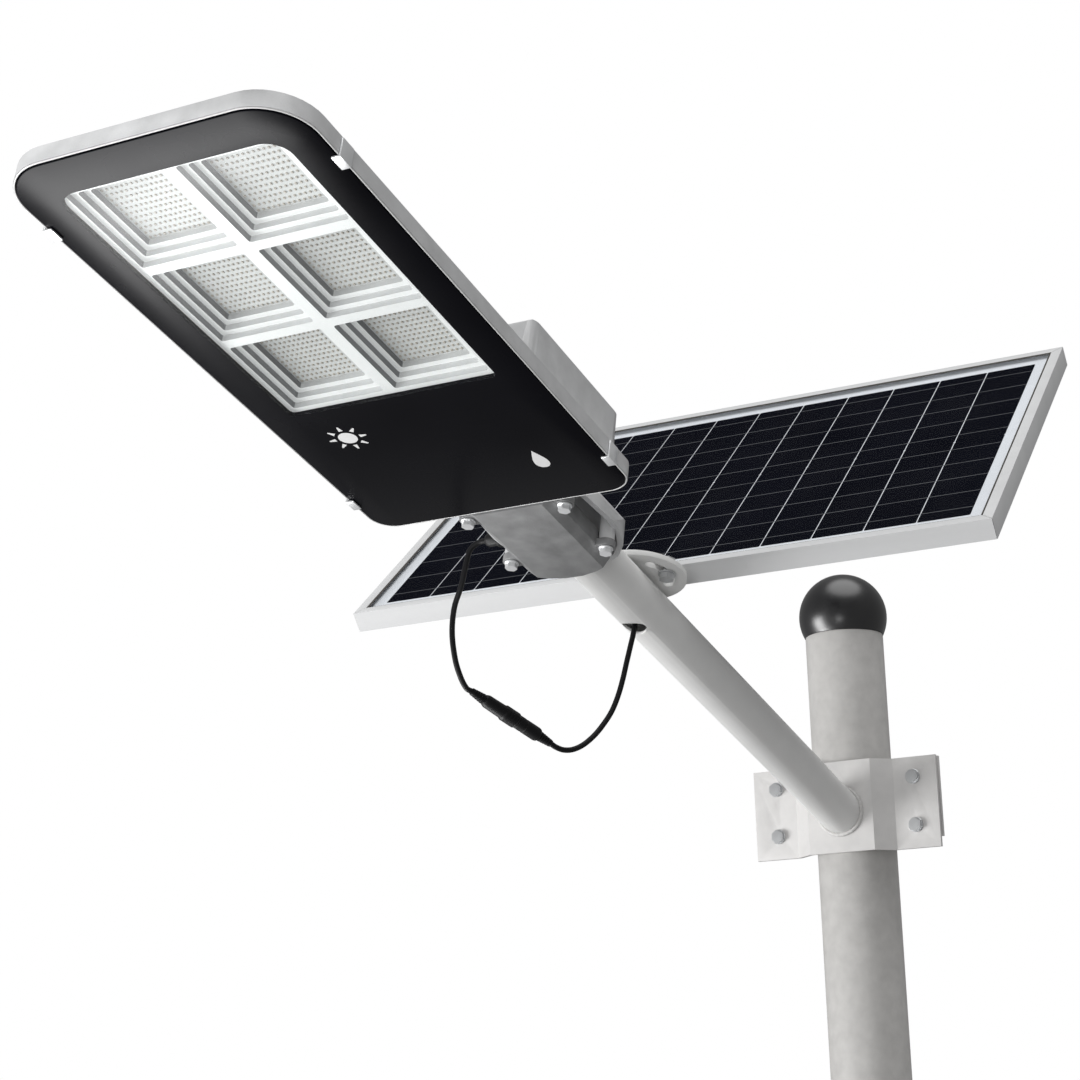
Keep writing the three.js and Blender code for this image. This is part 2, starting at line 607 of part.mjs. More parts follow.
// ---------------------------------------------------------------- turntable and panel bracket
function buildTurntable() {
  const { u, r, low, thickness, slotR, slotHalf } = TURNTABLE;
  const top = low + thickness;
  const disc = post(0, 0, low, top, r, 48);
  const slots = [1, -1].map((side) => {
    const middle = (side * Math.PI) / 2;
    const outline = arcSlot(slotR, slotHalf, middle - SLOT_SWEEP / 2, middle + SLOT_SWEEP / 2);
    return raise(outline, low - 1, top + 1, 5);
  });
  const plate = cut(disc, ...slots, post(0, 0, low - 1, top + 1, 5.4, 16)).translate(u, 0, 0);
  add(armFrame, "turntable_plate", plate, MATERIAL.armWhite);

  // The swivel bracket: a foot on the disc and a strap that rises behind it to the panel's pivot.
  const pivot = pivotInArmFrame();
  const footLow = top + GAP;
  const footTop = footLow + FOOT_T;
  const side = bandOutline([[pivot.x, pivot.z], [u - r - 3, footLow], [u + 20, footLow]], FOOT_T);
  const strap = raiseAlongY(side, -KNUCKLE.half, KNUCKLE.half);
  const wings = block(u - 12, u + 12, -slotR - 9, slotR + 9, footLow, footTop);
  const knuckle = postAlongY(pivot.x, pivot.z, -KNUCKLE.half, KNUCKLE.half, KNUCKLE.r, 24);
  const pivotHole = postAlongY(pivot.x, pivot.z, -60, 60, PIVOT.r + 0.3, 16);
  const bolts = [0, slotR, -slotR].map((v) => post(u, v, 0, 60, 4.4, 16));
  const bracket = cut(join(strap, wings, knuckle), pivotHole, ...bolts);
  add(armFrame, "swivel_bracket", bracket, MATERIAL.bracket);

  const names = ["swivel_bolt_centre", "swivel_bolt_left", "swivel_bolt_right"];
  [0, slotR, -slotR].forEach((v, i) => {
    const shank = post(u, v, low - GAP - (i ? 1 : 0), footTop + 1, 4, 16);
    const nut = post(u, v, footTop + GAP, footTop + GAP + 6, 7.4, 6);
    const washerR = i ? 8.4 : 0;
    const parts = [shank, nut];
    if (i) {
      parts.push(post(u, v, low - GAP - 1.5, low - GAP, washerR, 20));
      parts.push(post(u, v, low - GAP - 6.5, low - GAP - 1, 7.4, 6));
    }
    add(armFrame, names[i], join(...parts), MATERIAL.steel);
  });
}

function pivotInArmFrame() {
  return new THREE.Vector3(PIVOT.x, 0, PIVOT.z).applyAxisAngle(new THREE.Vector3(0, 1, 0), ARM_RISE);
}

// A point in the lamp's axes, measured from the arm's crossing, as a point of the panel's own frame.
function inPanelFrame(x, z) {
  const point = new THREE.Vector3(x - PANEL.x, 0, z - PANEL.z);
  return point.applyAxisAngle(new THREE.Vector3(0, 1, 0), -PANEL_TILT);
}

// ---------------------------------------------------------------- solar panel
// In the panel's frame x is 0 at the lower edge and negative up the slope, z is 0 at the front face.
function buildPanel() {
  const { width, height, thickness } = PANEL;
  const halfW = width / 2;
  const slotTop = -1.2;
  const slotLow = slotTop - SOLAR_GLASS_T - 1.6;

  // A frame bar's section, from the outside in: outer wall, front lip, glass slot, rear foot.
  const section = [[0, 0], [FRAME_LIP, 0], [FRAME_LIP, slotTop + GAP], [FRAME_WALL, slotTop + GAP]];
  section.push([FRAME_WALL, slotLow - GAP], [FRAME_LIP, slotLow - GAP], [FRAME_LIP, slotLow - GAP - 1.4]);
  section.push([FRAME_WALL, slotLow - GAP - 1.4], [FRAME_WALL, -thickness + 1.6]);
  section.push([FRAME_FOOT, -thickness + 1.6], [FRAME_FOOT, -thickness], [0, -thickness]);
  const bar = (length) => {
    const geometry = raise(polygon([...section].reverse()), -length / 2, length / 2);
    return geometry.rotateX(Math.PI / 2).rotateZ(Math.PI);
  };
  // The bars are mitred at the corners by planes at 45 degrees.
  const mitre = (length) => {
    const reach = length / 2 - GAP;
    const depth = 60;
    const outline = [[1, reach + 1], [-depth, reach - depth], [-depth, depth - reach], [1, -reach - 1]];
    return raise(polygon(outline), -60, 20);
  };
  const longBar = common(bar(width + 4), mitre(width));
  const shortBar = common(bar(height + 4), mitre(height));
  add(panelFrame, "panel_frame_bottom", longBar, MATERIAL.aluminium);
  const topBar = longBar.clone().rotateZ(Math.PI).translate(-height, 0, 0);
  add(panelFrame, "panel_frame_top", topBar, MATERIAL.aluminium);
  const leftBar = shortBar.clone().rotateZ(Math.PI / 2).translate(-height / 2, halfW, 0);
  add(panelFrame, "panel_frame_left", leftBar, MATERIAL.aluminium);
  const rightBar = shortBar.clone().rotateZ(-Math.PI / 2).translate(-height / 2, -halfW, 0);
  add(panelFrame, "panel_frame_right", rightBar, MATERIAL.aluminium);

  const inset = FRAME_WALL + GAP;
  const sheet = (top, low) => block(inset - height, -inset, inset - halfW, halfW - inset, low, top);
  add(panelFrame, "solar_glass", sheet(slotTop, slotTop - SOLAR_GLASS_T), MATERIAL.solarGlass);
  add(panelFrame, "solar_cells", sheet(slotTop - SOLAR_GLASS_T - GAP, slotLow), MATERIAL.cell);

  buildPanelBack(slotLow);
}

function buildPanelBack(cellBack) {
  const { height, thickness } = PANEL;
  const railTop = -thickness - GAP;
  const railLow = railTop - 5;
  for (const side of [1, -1]) {
    const y = side * 70;
    const rail = block(RAIL_END - height, -RAIL_END, y - 12, y + 12, railLow, railTop);
    add(panelFrame, `panel_rail_${side > 0 ? "left" : "right"}`, rail, MATERIAL.aluminium);
  }

  // The tilt bracket: a cross plate under both rails, with two ears down to the pivot.
  const pivot = inPanelFrame(PIVOT.x, PIVOT.z);
  const plateTop = railLow - GAP;
  const plateLow = plateTop - 4;
  const plate = block(pivot.x - 26, pivot.x + 26, -86, 86, plateLow, plateTop);
  const inner = KNUCKLE.half + GAP;
  const outer = inner + EAR.thickness;
  const earOutline = new THREE.Shape();
  earOutline.moveTo(pivot.x + 24, plateTop - 1);
  earOutline.lineTo(pivot.x - 24, plateTop - 1);
  earOutline.lineTo(pivot.x - EAR.r, pivot.z);
  earOutline.absarc(pivot.x, pivot.z, EAR.r, Math.PI, 2 * Math.PI, false);
  const ears = [-outer, inner].map((y) => raise(earOutline, -y - EAR.thickness, -y, 4).rotateX(Math.PI / 2));
  const hole = postAlongY(pivot.x, pivot.z, -60, 60, PIVOT.r + 0.3, 16);
  add(panelFrame, "tilt_bracket", cut(join(plate, ...ears), hole), MATERIAL.bracket);

  const reach = outer + GAP;
  const shank = postAlongY(0, 0, -reach - 1, reach + 1, PIVOT.r, 16);
  const washers = [reach, -reach - 1.6].map((y) => postAlongY(0, 0, y, y + 1.6, 8.4, 20));
  const head = postAlongY(0, 0, reach + 1, reach + 6.5, 7.2, 6);
  const nut = postAlongY(0, 0, -reach - 7, -reach - 1, 7.2, 6);
  const bolt = join(shank, ...washers, head, nut).translate(pivot.x, 0, pivot.z);
  add(panelFrame, "pivot_bolt", bolt, MATERIAL.steel);

  // The junction box on the back sheet, between the upper bar and the middle.
  const boxTop = cellBack - GAP;
  const boxX = -height + 105;
  const box = block(boxX - 30, boxX + 30, -45, 45, boxTop - 17, boxTop);
  const outlet = postAlongY(0, 0, 0, 14, 7, 12).rotateZ(-Math.PI / 2).translate(boxX + 29, 0, boxTop - 9);
  const hollow = block(boxX - 27, boxX + 27, -42, 42, boxTop - 18, boxTop - 2);
  add(panelFrame, "junction_box", cut(join(box, outlet), hollow), MATERIAL.blackPlastic);
  const lid = block(boxX - 31, boxX + 31, -46, 46, boxTop - 17 - GAP - 3, boxTop - 17 - GAP);
  add(panelFrame, "junction_box_lid", lid, MATERIAL.blackPlastic);
}

buildPole();
buildClampAndArm();
buildHousing();
buildGlassAndSeal();
buildOptics();
buildElectronics();
buildSaddle();
buildLeads();
buildTurntable();
buildPanel();

export default lamp;
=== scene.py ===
"""Solar street lamp: looks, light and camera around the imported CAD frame.

Lengths are millimetres inside the builders and metres in the scene. Pieces of the arm and the head are
built in the arm's own axes (x along the arm, y across it, z square to both, from the arm's crossing with
the pole), and those of the panel in the panel's axes (x is 0 at its lower edge, z is 0 at its front face).
"""
import json
import math
import random

import bmesh
import bpy
from mathutils import Matrix, Vector

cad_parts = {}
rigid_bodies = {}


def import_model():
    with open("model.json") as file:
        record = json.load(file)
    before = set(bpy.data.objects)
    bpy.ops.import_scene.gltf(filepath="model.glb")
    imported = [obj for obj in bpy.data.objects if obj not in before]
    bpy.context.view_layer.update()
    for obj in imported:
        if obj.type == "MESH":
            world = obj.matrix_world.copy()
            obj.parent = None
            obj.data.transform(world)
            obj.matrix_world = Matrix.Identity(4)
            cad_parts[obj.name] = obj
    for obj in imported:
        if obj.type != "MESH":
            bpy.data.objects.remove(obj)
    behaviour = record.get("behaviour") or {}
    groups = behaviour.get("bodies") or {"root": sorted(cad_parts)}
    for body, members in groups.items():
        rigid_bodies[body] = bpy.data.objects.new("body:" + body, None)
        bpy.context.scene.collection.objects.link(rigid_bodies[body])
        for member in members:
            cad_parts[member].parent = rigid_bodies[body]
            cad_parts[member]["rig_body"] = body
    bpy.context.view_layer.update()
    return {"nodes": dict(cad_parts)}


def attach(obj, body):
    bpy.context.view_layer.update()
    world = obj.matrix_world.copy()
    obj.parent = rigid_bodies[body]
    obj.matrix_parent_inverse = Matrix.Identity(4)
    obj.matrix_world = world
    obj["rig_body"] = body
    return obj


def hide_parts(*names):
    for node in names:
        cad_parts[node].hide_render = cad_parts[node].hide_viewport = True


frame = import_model()
nodes = frame["nodes"]

MM = 0.001
CROSSING = Vector((0, 0, 2.779))
ARM_RISE = math.radians(14.26)
POLE_RADIUS = 44.45
ARM = Matrix.Translation(CROSSING) @ Matrix.Rotation(-ARM_RISE, 4, "Y")
PANEL = Matrix.Translation((0.5385, 0, 2.779 + 0.1859)) @ Matrix.Rotation(math.radians(38.84), 4, "Y")
WORLD = Matrix.Identity(4)
BODY = {name: node["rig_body"] for name, node in nodes.items()}


# ---------------------------------------------------------------- camera
def build_camera():
    data = bpy.data.cameras.new("camera")
    data.sensor_width = 36
    data.lens = 75.5
    camera = bpy.data.objects.new("camera", data)
    bpy.context.scene.collection.objects.link(camera)
    right = Vector((-0.45969, 0.88771, -0.02549)).normalized()
    back = Vector((0.86030, 0.43801, -0.26084)).normalized()
    turn = Matrix((right, back.cross(right), back)).transposed().to_4x4()
    camera.matrix_world = Matrix.Translation((2.4408, 0.8514, 2.4341)) @ turn
    bpy.context.scene.camera = camera


# ---------------------------------------------------------------- materials
def material(name, color, rough, metal=0.0, specular=0.5, fleck=0.03, fleck_scale=60, bump=0.0, coat=0.0,
             glow=0.0, stretch=(1, 1, 1)):
    """A surface with a fine mottling of its colour and roughness, and a shallow bump."""
    made = bpy.data.materials.new(name)
    made.use_nodes = True
    tree = made.node_tree
    shader = tree.nodes["Principled BSDF"]
    shader.inputs["Metallic"].default_value = metal
    shader.inputs["Specular IOR Level"].default_value = specular
    shader.inputs["Coat Weight"].default_value = coat
    shader.inputs["Emission Color"].default_value = (1, 1, 1, 1)
    shader.inputs["Emission Strength"].default_value = glow
    coords = tree.nodes.new("ShaderNodeTexCoord")
    mapping = tree.nodes.new("ShaderNodeMapping")
    mapping.inputs["Scale"].default_value = stretch
    noise = tree.nodes.new("ShaderNodeTexNoise")
    noise.inputs["Scale"].default_value = fleck_scale
    noise.inputs["Detail"].default_value = 5
    tree.links.new(coords.outputs["Object"], mapping.inputs["Vector"])
    tree.links.new(mapping.outputs["Vector"], noise.inputs["Vector"])
    tint = tree.nodes.new("ShaderNodeMapRange")
    tint.inputs["From Min"].default_value = 0.3
    tint.inputs["From Max"].default_value = 0.7
    tint.inputs["To Min"].default_value = 1 - fleck
    tint.inputs["To Max"].default_value = 1 + fleck
    tree.links.new(noise.outputs["Fac"], tint.inputs["Value"])
    scale = tree.nodes.new("ShaderNodeVectorMath")
    scale.operation = "SCALE"
    scale.inputs[0].default_value = color
    tree.links.new(tint.outputs["Result"], scale.inputs["Scale"])
    tree.links.new(scale.outputs["Vector"], shader.inputs["Base Color"])
    polish = tree.nodes.new("ShaderNodeMapRange")
    polish.inputs["To Min"].default_value = max(rough - 0.05, 0.02)
    polish.inputs["To Max"].default_value = rough + 0.05
    tree.links.new(noise.outputs["Fac"], polish.inputs["Value"])
    tree.links.new(polish.outputs["Result"], shader.inputs["Roughness"])
    if bump:
        grain = tree.nodes.new("ShaderNodeTexNoise")
        grain.inputs["Scale"].default_value = 900
        grain.inputs["Detail"].default_value = 3
        tree.links.new(mapping.outputs["Vector"], grain.inputs["Vector"])
        relief = tree.nodes.new("ShaderNodeBump")
        relief.inputs["Strength"].default_value = bump
        relief.inputs["Distance"].default_value = 0.0004
        tree.links.new(grain.outputs["Fac"], relief.inputs["Height"])
        tree.links.new(relief.outputs["Normal"], shader.inputs["Normal"])
    return made


def thin_glass(name, tint, rough, film_low, film_high):
    """A pane that lets light straight through and mirrors a little, with faint smears on it."""
    made = material(name, tint, rough, fleck_scale=14)
    tree = made.node_tree
    clear = tree.nodes.new("ShaderNodeBsdfTransparent")
    clear.inputs["Color"].default_value = (*tint, 1)
    gloss = tree.nodes.new("ShaderNodeBsdfGlossy")
    gloss.inputs["Roughness"].default_value = rough
    smear = tree.nodes["Noise Texture"]
    film = tree.nodes.new("ShaderNodeMapRange")
    film.inputs["From Min"].default_value = 0.35
    film.inputs["From Max"].default_value = 0.8
    film.inputs["To Min"].default_value = film_low
    film.inputs["To Max"].default_value = film_high
    tree.links.new(smear.outputs["Fac"], film.inputs["Value"])
    mix = tree.nodes.new("ShaderNodeMixShader")
    tree.links.new(film.outputs["Result"], mix.inputs["Fac"])
    tree.links.new(clear.outputs["BSDF"], mix.inputs[1])
    tree.links.new(gloss.outputs["BSDF"], mix.inputs[2])
    tree.links.new(mix.outputs["Shader"], tree.nodes["Material Output"].inputs["Surface"])
    return made


MATERIALS = {
    "pole_paint": material("pole_paint", (0.54, 0.53, 0.515), 0.42, fleck=0.07, fleck_scale=70, bump=0.25),
    "cap_plastic": material("cap_plastic", (0.008, 0.008, 0.009), 0.3, specular=0.8, fleck=0.2),
    "bracket_metal": material("bracket_metal", (0.68, 0.67, 0.66), 0.42, fleck=0.04, bump=0.2),
    "bolt_steel": material("bolt_steel", (0.60, 0.61, 0.62), 0.3, metal=0.85, fleck=0.08),
    "clip_steel": material("clip_steel", (0.86, 0.87, 0.88), 0.3, metal=0.5, fleck=0.05),
    "arm_paint": material("arm_paint", (0.84, 0.84, 0.83), 0.38, fleck=0.02, fleck_scale=30, bump=0.2),
    "cast_grey": material("cast_grey", (0.63, 0.635, 0.64), 0.42, fleck=0.08, bump=0.35),
    "printed_glass": material("printed_glass", (0.002, 0.002, 0.004), 0.26, specular=0.05, fleck=0.12,
                              fleck_scale=12),
    "seal_rubber": material("seal_rubber", (0.02, 0.02, 0.02), 0.7, bump=0.3),
    "lead_rubber": material("lead_rubber", (0.006, 0.006, 0.007), 0.5, specular=0.2, bump=0.3),
    "gland_plastic": material("gland_plastic", (0.01, 0.01, 0.011), 0.5, specular=0.2, bump=0.3),
    # painted light: the reflector's white glows faintly, though it is no lamp
    "reflector_white": material("reflector_white", (0.92, 0.92, 0.91), 0.35, fleck=0.02, glow=0.14),
    "led_board": material("led_board", (0.74, 0.74, 0.73), 0.5, fleck=0.05),
    "battery_wrap": material("battery_wrap", (0.03, 0.10, 0.34), 0.4, fleck=0.06),
    "circuit_board": material("circuit_board", (0.02, 0.14, 0.05), 0.4, fleck=0.1),
    "frame_aluminium": material("frame_aluminium", (0.66, 0.665, 0.67), 0.5, specular=0.15, fleck=0.03,
                                fleck_scale=40, stretch=(1, 0.05, 1)),
    "solar_cells": material("solar_cells", (0.86, 0.86, 0.87), 0.5, fleck=0.02),
    "box_plastic": material("box_plastic", (0.02, 0.02, 0.021), 0.5, bump=0.3),
    "solar_glass": thin_glass("solar_glass", (0.97, 0.98, 0.99), 0.12, 0.004, 0.012),
    "window_glass": thin_glass("window_glass", (0.98, 0.99, 0.99), 0.25, 0.01, 0.02),
    # painted shade: a dark grey copy of the reflector's white, for the side risers
    "riser_painted_shade": material("riser_painted_shade", (0.22, 0.225, 0.23), 0.4, fleck=0.06),
    "chip_phosphor": material("chip_phosphor", (0.50, 0.45, 0.38), 0.45, fleck=0.05),
    "cell_blue": material("cell_blue", (0.005, 0.0055, 0.009), 0.5, specular=0.0, fleck=0.15, fleck_scale=9),
    "busbar_tin": material("busbar_tin", (0.12, 0.12, 0.125), 0.45, specular=0.2, fleck=0.08),
    "print_white": material("print_white", (0.88, 0.88, 0.88), 0.5, fleck=0.03),
    # painted highlight: a lighter copy of the cast grey, for the rim bead's edge
    "rim_bead_painted_highlight": material("rim_bead_painted_highlight", (0.80, 0.80, 0.80), 0.35, fleck=0.03),
    # painted shade: a darker copy of the housing's cast grey, for the saddle under the head
    "saddle_cast_painted_shade": material("saddle_cast_painted_shade", (0.25, 0.252, 0.255), 0.4, fleck=0.22, fleck_scale=45, bump=0.5),
    # painted shade: a mid grey copy of the reflector's white, for the end risers
    "riser_painted_half_shade": material("riser_painted_half_shade", (0.60, 0.60, 0.60), 0.4, fleck=0.05),
    "seal_dark": material("seal_dark", (0.03, 0.025, 0.02), 0.6, fleck=0.1),
    "weld": material("weld", (0.62, 0.61, 0.60), 0.4, fleck=0.08, fleck_scale=300, bump=0.5),
}


# ---------------------------------------------------------------- mesh helpers
def piece(name, mesh, look, body, place=WORLD, replaces=(), smooth=32):
    """Puts a bmesh (in millimetres, in the axes of `place`) into the scene as a named piece."""
    bmesh.ops.transform(mesh, matrix=Matrix.Scale(MM, 4), verts=mesh.verts)
    bmesh.ops.recalc_face_normals(mesh, faces=mesh.faces)
    data = bpy.data.meshes.new(name)
    mesh.to_mesh(data)
    mesh.free()
    data.shade_smooth()
    data.set_sharp_from_angle(angle=math.radians(smooth))
    data.materials.append(MATERIALS[look])
    made = bpy.data.objects.new(name, data)
    bpy.context.scene.collection.objects.link(made)
    made.matrix_world = place
    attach(made, body)
    if replaces:
        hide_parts(*replaces)
    return made


def loft(rings, closed_ends=True, closed_loop=False, mesh=None):
    """Faces between rings of points, all with the same count; `closed_loop` joins the last to the first."""
    mesh = mesh or bmesh.new()
    loops = [[mesh.verts.new(point) for point in ring] for ring in rings]
    pairs = list(zip(loops, loops[1:]))
    if closed_loop:
        pairs.append((loops[-1], loops[0]))
    for low, high in pairs:
        for i in range(len(low)):
            j = (i + 1) % len(low)
            mesh.faces.new((low[i], low[j], high[j], high[i]))
    if closed_ends and not closed_loop:
        mesh.faces.new(list(reversed(loops[0])))
        mesh.faces.new(loops[-1])
    return mesh


def lathe(profile, sides):
    """A closed solid turned about Z from a profile of (radius, z); a radius near 0 closes it to a cap."""
    rings = []
    for radius, z in profile:
        angles = [2 * math.pi * i / sides for i in range(sides)]
        rings.append([(radius * math.cos(a), radius * math.sin(a), z) for a in angles])
    return loft(rings)


def rounded(x0, x1, y0, y1, front, rear, z, steps=14):
    """A rectangle's outline with corner radii `front` at x1 and `rear` at x0, as 3-D points at height z."""
    points = []
    corners = [(x1 - front, y1 - front, front, 0), (x0 + rear, y1 - rear, rear, 90)]
    corners += [(x0 + rear, y0 + rear, rear, 180), (x1 - front, y0 + front, front, 270)]
    for cx, cy, radius, turn in corners:
        for i in range(steps + 1):
            angle = math.radians(turn + 90 * i / steps)
            points.append((cx + radius * math.cos(angle), cy + radius * math.sin(angle), z))
    return points


def box(mesh, x0, x1, y0, y1, z0, z1, edge=0.0):
    """A block with its upright and upper edges broken by `edge`."""
    tiny = max(edge, 0.01)
    rings = [rounded(x0, x1, y0, y1, tiny, tiny, z0, 2), rounded(x0, x1, y0, y1, tiny, tiny, z1 - tiny, 2)]
    rings.append(rounded(x0 + tiny, x1 - tiny, y0 + tiny, y1 - tiny, tiny / 2, tiny / 2, z1, 2))
    return loft(rings, mesh=mesh)


def tube_along(points, radius, sides, ripple=0.0):
    """A round tube through points; `ripple` makes its radius uneven, as a weld bead's is."""
    chance = random.Random(1)
    rings = []
    last = None
    for i, here in enumerate(points):
        ahead = points[min(i + 1, len(points) - 1)] - points[max(i - 1, 0)]
        ahead.normalize()
        if last is None:
            last = ahead.orthogonal().normalized()
        last = (last - ahead * last.dot(ahead)).normalized()
        other = ahead.cross(last)
        size = radius * (1 + ripple * math.sin(i * 1.9) + ripple * chance.uniform(-0.4, 0.4))
        angles = [2 * math.pi * k / sides for k in range(sides)]
        rings.append([here + size * (math.cos(a) * last + math.sin(a) * other) for a in angles])
    return loft(rings)


def catmull(points, per_span):
    """Points on the smooth curve through given points."""
    ends = [points[0] * 2 - points[1]] + points + [points[-1] * 2 - points[-2]]
    line = []
    for a, b, c, d in zip(ends, ends[1:], ends[2:], ends[3:]):
        for i in range(per_span):
            t = i / per_span
            line.append(0.5 * (2 * b + (c - a) * t + (2 * a - 5 * b + 4 * c - d) * t * t
                               + (3 * b - a - 3 * c + d) * t ** 3))
    return line + [points[-1]]


def refined(node, look, place=WORLD, edge=0.6, smooth=32):
    """A detailed copy of a CAD node: clean faces, broken and rounded edges, smooth shading."""
    source = nodes[node].data
    mesh = bmesh.new()
    mesh.from_mesh(source)
    bmesh.ops.remove_doubles(mesh, verts=mesh.verts, dist=2e-5)
    bmesh.ops.dissolve_limit(mesh, angle_limit=math.radians(1.0), verts=mesh.verts, edges=mesh.edges)
    bmesh.ops.transform(mesh, matrix=Matrix.Scale(1000, 4) @ place.inverted(), verts=mesh.verts)
    if edge:
        sharp = [e for e in mesh.edges if len(e.link_faces) == 2 and e.calc_face_angle() > math.radians(34)]
        bmesh.ops.bevel(mesh, geom=sharp, offset=edge, offset_type="OFFSET", segments=2, profile=0.6,
                        affect="EDGES", clamp_overlap=True)
    return piece(node + "_finished", mesh, look, BODY[node], place, (node,), smooth)


# ---------------------------------------------------------------- leads
LAMP_LEAD_ROUTE = [
    (727.6, -74.8, 181.9), (727.8, -83.0, 181.0), (728.4, -90.5, 175.5), (729.6, -94.0, 164.0),
    (735.5, -96.5, 141.4), (745.3, -98.3, 120.0), (751.0, -97.7, 96.0), (751.8, -94.6, 72.0),
    (749.4, -90.8, 56.0), (745.9, -87.4, 46.8), (741.0, -85.0, 44.3),
]
ARM_LEAD_ROUTE = [
    (664.4, -47.2, 5.0), (659.5, -44.8, 2.5), (652.0, -41.2, 0.8), (643.0, -36.6, 2.0), (632.1, -31.3, 7.3),
    (620.5, -25.5, 17.0), (610.0, -20.4, 29.0), (601.6, -16.2, 41.2), (594.5, -12.8, 56.0),
    (589.0, -10.0, 72.0), (584.5, -7.7, 88.0), (580.5, -5.6, 102.0),
]
LEAD_DIAMETER = 0.005


def build_lead(name, line, node):
    points = catmull(line, 8)
    mesh = tube_along([point * 1000 for point in points], LEAD_DIAMETER * 500, sides=24)
    made = piece(name, mesh, "lead_rubber", BODY[node], replaces=(node,), smooth=60)


def build_leads():
    lamp_line = [CROSSING + Vector(p) * MM for p in LAMP_LEAD_ROUTE]
    arm_line = [CROSSING + Vector(p) * MM for p in ARM_LEAD_ROUTE]
    arm_line += [ARM @ (Vector((587, -3, w)) * MM) for w in (-24.15, -12)]
    plug_end, socket_end = lamp_line[-1], arm_line[0]

    # The mated connector: two halves with ribbed boots, on the line between the leads' ends.
    axis = socket_end - plug_end
    length = axis.length * 1000 - 0.6
    turn = axis.to_track_quat("Z", "Y").to_matrix().to_4x4()
    place = Matrix.Translation(plug_end + axis.normalized() * 0.0003) @ turn
    middle = length * 0.56
    boot = 15
    plug = [(0.01, 0), (3.2, 0)]
    for i in range(5):
        at = 1 + i * 2.7
        wide = 3.5 + 0.28 * i
        plug += [(wide, at), (wide, at + 1.4), (wide - 0.7, at + 1.7), (wide - 0.6, at + 2.4)]
    plug += [(5.0, boot), (6.0, boot + 2.5), (6.3, middle - 17), (6.6, middle - 16), (7.2, middle - 15)]
    for i in range(4):
        at = middle - 14.4 + i * 3.2
        plug += [(7.3, at), (7.3, at + 1.9), (6.8, at + 2.1), (6.8, at + 2.9)]
    plug += [(7.3, middle - 1.4), (6.9, middle - 0.5), (6.3, middle), (0.01, middle)]
    halves = {"lamp_connector": plug}
    near = middle + 0.3
    socket = [(0.01, near), (6.0, near), (6.4, near + 0.5), (6.4, near + 7), (6.0, near + 7.4)]
    socket += [(6.0, near + 8.6), (6.4, near + 9), (6.4, length - boot - 3), (5.9, length - boot - 1)]
    socket.append((5.0, length - boot))
    for i in range(5):
        at = length - boot + 1 + i * 2.7
        wide = 4.6 - 0.28 * i
        socket += [(wide - 0.6, at), (wide, at + 0.3), (wide, at + 1.7), (wide - 0.7, at + 2.0)]
    socket += [(3.2, length - 0.2), (0.01, length)]
    halves["arm_connector"] = socket
    for node, profile in halves.items():
        piece(node + "_half", lathe(profile, 48), "lead_rubber", BODY[node], place, (node,), 28)
    build_lead("lamp_lead_cable", lamp_line, "lamp_lead")
    build_lead("arm_lead_cable", list(reversed(arm_line)), "arm_lead")


# ---------------------------------------------------------------- pole
def build_pole():
    wall = POLE_RADIUS - 3.2
    profile = [(wall, 12.3), (POLE_RADIUS, 12.3), (POLE_RADIUS, 2999.2), (44.1, 3000), (wall, 3000)]
    rings = []
    for radius, z in profile:
        angles = [2 * math.pi * i / 128 for i in range(128)]
        rings.append([(radius * math.cos(a), radius * math.sin(a), z) for a in angles])
    tube = loft(rings, closed_loop=True)
    piece("pole_tube_painted", tube, "pole_paint", "pole", replaces=("pole_tube",))

    ball, rise = 50.4, 23.0
    low = -math.asin((rise - 0.3) / ball)
    plug = wall - 0.3
    cap = [(0.01, -30), (plug - 3, -30), (plug, -27), (plug, 0.3)]
    steps = 48
    for i in range(steps):
        angle = low + (math.pi / 2 - low) * i / steps
        cap.append((ball * math.cos(angle), rise + ball * math.sin(angle)))
    cap.append((0.01, rise + ball))
    top = Matrix.Translation((0, 0, 3))
    piece("pole_cap_ball", lathe(cap, 128), "cap_plastic", "pole", top, ("pole_cap",), 60)

    refined("base_flange", "pole_paint", edge=1.2)
    for i in range(1, 5):
        refined(f"base_gusset_{i}", "pole_paint", edge=0.8)
    ring_line = [Vector((45.2 * math.cos(a), 45.2 * math.sin(a), 13.4)) for a in
                 (2 * math.pi * i / 160 for i in range(161))]
    piece("flange_weld", tube_along(ring_line, 2.6, 10, 0.12), "pole_paint", "pole")


# ---------------------------------------------------------------- bolts
def hex_bolt(shank, length, across, head, washer):
    """A chamfered hexagon head below z = 0 on a dished washer, and a shank above it with a pointed end."""
    mesh = lathe([(0.01, -1.5), (washer - 0.4, -1.5), (washer, -1.1), (washer, -0.3), (washer - 0.2, 0),
                  (shank, 0.0), (shank, length - 1), (shank - 1, length), (0.01, length)], 48)
    rings = []
    for z in (-1.45, -head - 0.7, -head - 1.5):
        chamfered = z < -head - 0.6
        rings.append([])
        for side in range(6):
            for k in range(6):
                a0, a1 = math.radians(60 * side), math.radians(60 * side + 60)
                t = k / 6
                x = (1 - t) * math.cos(a0) + t * math.cos(a1)
                y = (1 - t) * math.sin(a0) + t * math.sin(a1)
                reach = min(1.0, 0.95 / max(math.hypot(x, y), 0.01)) if chamfered else 1
                rings[-1].append((across * x * reach, across * y * reach, z))
    rings.append([(0.86 * x, 0.86 * y, z - 0.02) for x, y, z in rings[-1]])
    return loft(rings, mesh=mesh)


